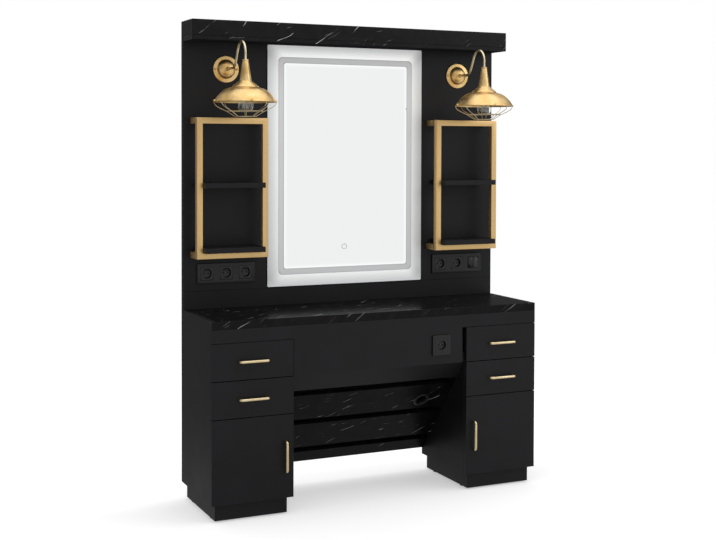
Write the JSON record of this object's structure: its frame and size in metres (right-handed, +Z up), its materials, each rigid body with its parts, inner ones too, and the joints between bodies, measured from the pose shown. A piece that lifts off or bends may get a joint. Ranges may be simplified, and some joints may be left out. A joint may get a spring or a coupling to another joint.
{
  "type": "salon station",
  "caption": "Free-standing salon dressing station: drawer and cupboard pedestals, marble-look worktop, back panel with lit mirror, shelf frames, sockets and swan-neck lamps.",
  "frame": {"origin": "on the floor under the middle of the outline, handles included", "axes": "+Z up, +X to the right of a person facing the mirror, -Y towards that person, +Y towards the back"},
  "size_m": [1.5, 0.438, 2.018],
  "materials": {
    "black_laminate": "satin black melamine on MDF",
    "marble_laminate": "gloss black marble laminate with white veins on MDF",
    "gold_tube": "satin gold",
    "lamp_brass": "satin brass",
    "handle_gold": "polished pale gold",
    "mirror_glass": "silvered glass",
    "frosted_band": "frosted, lit from behind",
    "tray_metal": "satin graphite",
    "led_tape": "matte white",
    "black_plastic": "satin black",
    "clear_glass": "clear",
    "lamp_holder": "satin black",
    "runner_steel": "zinc plated"
  },
  "bodies": {
    "station": {"rear_board": "black_laminate", "side_panel_left": "black_laminate", "side_panel_right": "black_laminate", "inner_sides": "black_laminate", "pedestal_decks": "black_laminate", "plinths": "black_laminate", "glide_feet": "black_plastic", "apron": "black_laminate", "kick_top_board": "black_laminate", "kick_slat_upper": "marble_laminate", "kick_slat_middle": "marble_laminate", "kick_slat_lower": "marble_laminate", "kick_bearers": "black_laminate", "cable_grommet": "black_plastic", "worktop": "marble_laminate", "splash_strip": "black_laminate", "upper_panel": "black_laminate", "header_fascia": "marble_laminate", "header_soffit": "marble_laminate", "header_top": "black_laminate", "header_ends": "black_laminate", "mirror_tray": "tray_metal", "led_tape": "led_tape", "mirror_glass": "mirror_glass", "light_band": "frosted_band", "shelf_frame_left": "gold_tube", "shelf_frame_right": "gold_tube", "shelves_left": "black_laminate", "shelves_right": "black_laminate", "socket_plates": "black_plastic", "socket_inserts": "black_plastic", "lamp_rosettes": "lamp_brass", "lamp_arms": "lamp_brass", "lamp_shades": "lamp_brass", "lamp_cages": "lamp_brass", "lamp_bulbs": "clear_glass", "lamp_holders": "lamp_holder", "drawer_runners": "runner_steel", "hinge_arms": "runner_steel"},
    "left_upper_drawer": {"left_upper_drawer_front": "black_laminate", "left_upper_drawer_tray": "tray_metal", "left_upper_drawer_handle": "handle_gold"},
    "left_lower_drawer": {"left_lower_drawer_front": "black_laminate", "left_lower_drawer_tray": "tray_metal", "left_lower_drawer_handle": "handle_gold"},
    "left_door_leaf": {"left_door": "black_laminate", "left_door_handle": "handle_gold", "left_door_hinge_cups": "runner_steel"},
    "right_upper_drawer": {"right_upper_drawer_front": "black_laminate", "right_upper_drawer_tray": "tray_metal", "right_upper_drawer_handle": "handle_gold"},
    "right_lower_drawer": {"right_lower_drawer_front": "black_laminate", "right_lower_drawer_tray": "tray_metal", "right_lower_drawer_handle": "handle_gold"},
    "right_door_leaf": {"right_door": "black_laminate", "right_door_handle": "handle_gold", "right_door_hinge_cups": "runner_steel"},
    "lamp_switch": {"rocker_left": "black_plastic"},
    "mirror_switch": {"rocker_right": "black_plastic"}
  },
  "joints": [
    {"name": "left_upper_drawer_slide", "type": "slide", "parent": "station", "child": "left_upper_drawer", "axis": [0, -1, 0], "range_m": [0, 0.28]},
    {"name": "left_lower_drawer_slide", "type": "slide", "parent": "station", "child": "left_lower_drawer", "axis": [0, -1, 0], "range_m": [0, 0.28]},
    {"name": "left_door_hinge", "type": "hinge", "parent": "station", "child": "left_door_leaf", "pos_m": [-0.75, -0.191, 0.241], "axis": [0, 0, -1], "range_deg": [0, 100]},
    {"name": "right_upper_drawer_slide", "type": "slide", "parent": "station", "child": "right_upper_drawer", "axis": [0, -1, 0], "range_m": [0, 0.28]},
    {"name": "right_lower_drawer_slide", "type": "slide", "parent": "station", "child": "right_lower_drawer", "axis": [0, -1, 0], "range_m": [0, 0.28]},
    {"name": "right_door_hinge", "type": "hinge", "parent": "station", "child": "right_door_leaf", "pos_m": [0.75, -0.191, 0.241], "axis": [0, 0, 1], "range_deg": [0, 100]},
    {"name": "lamp_switch_rock", "type": "hinge", "parent": "station", "child": "lamp_switch", "pos_m": [0.635, 0.1885, 0.954], "axis": [1, 0, 0], "range_deg": [-8, 0]},
    {"name": "mirror_switch_rock", "type": "hinge", "parent": "station", "child": "mirror_switch", "pos_m": [0.662, 0.1885, 0.954], "axis": [1, 0, 0], "range_deg": [0, 8]}
  ]
}
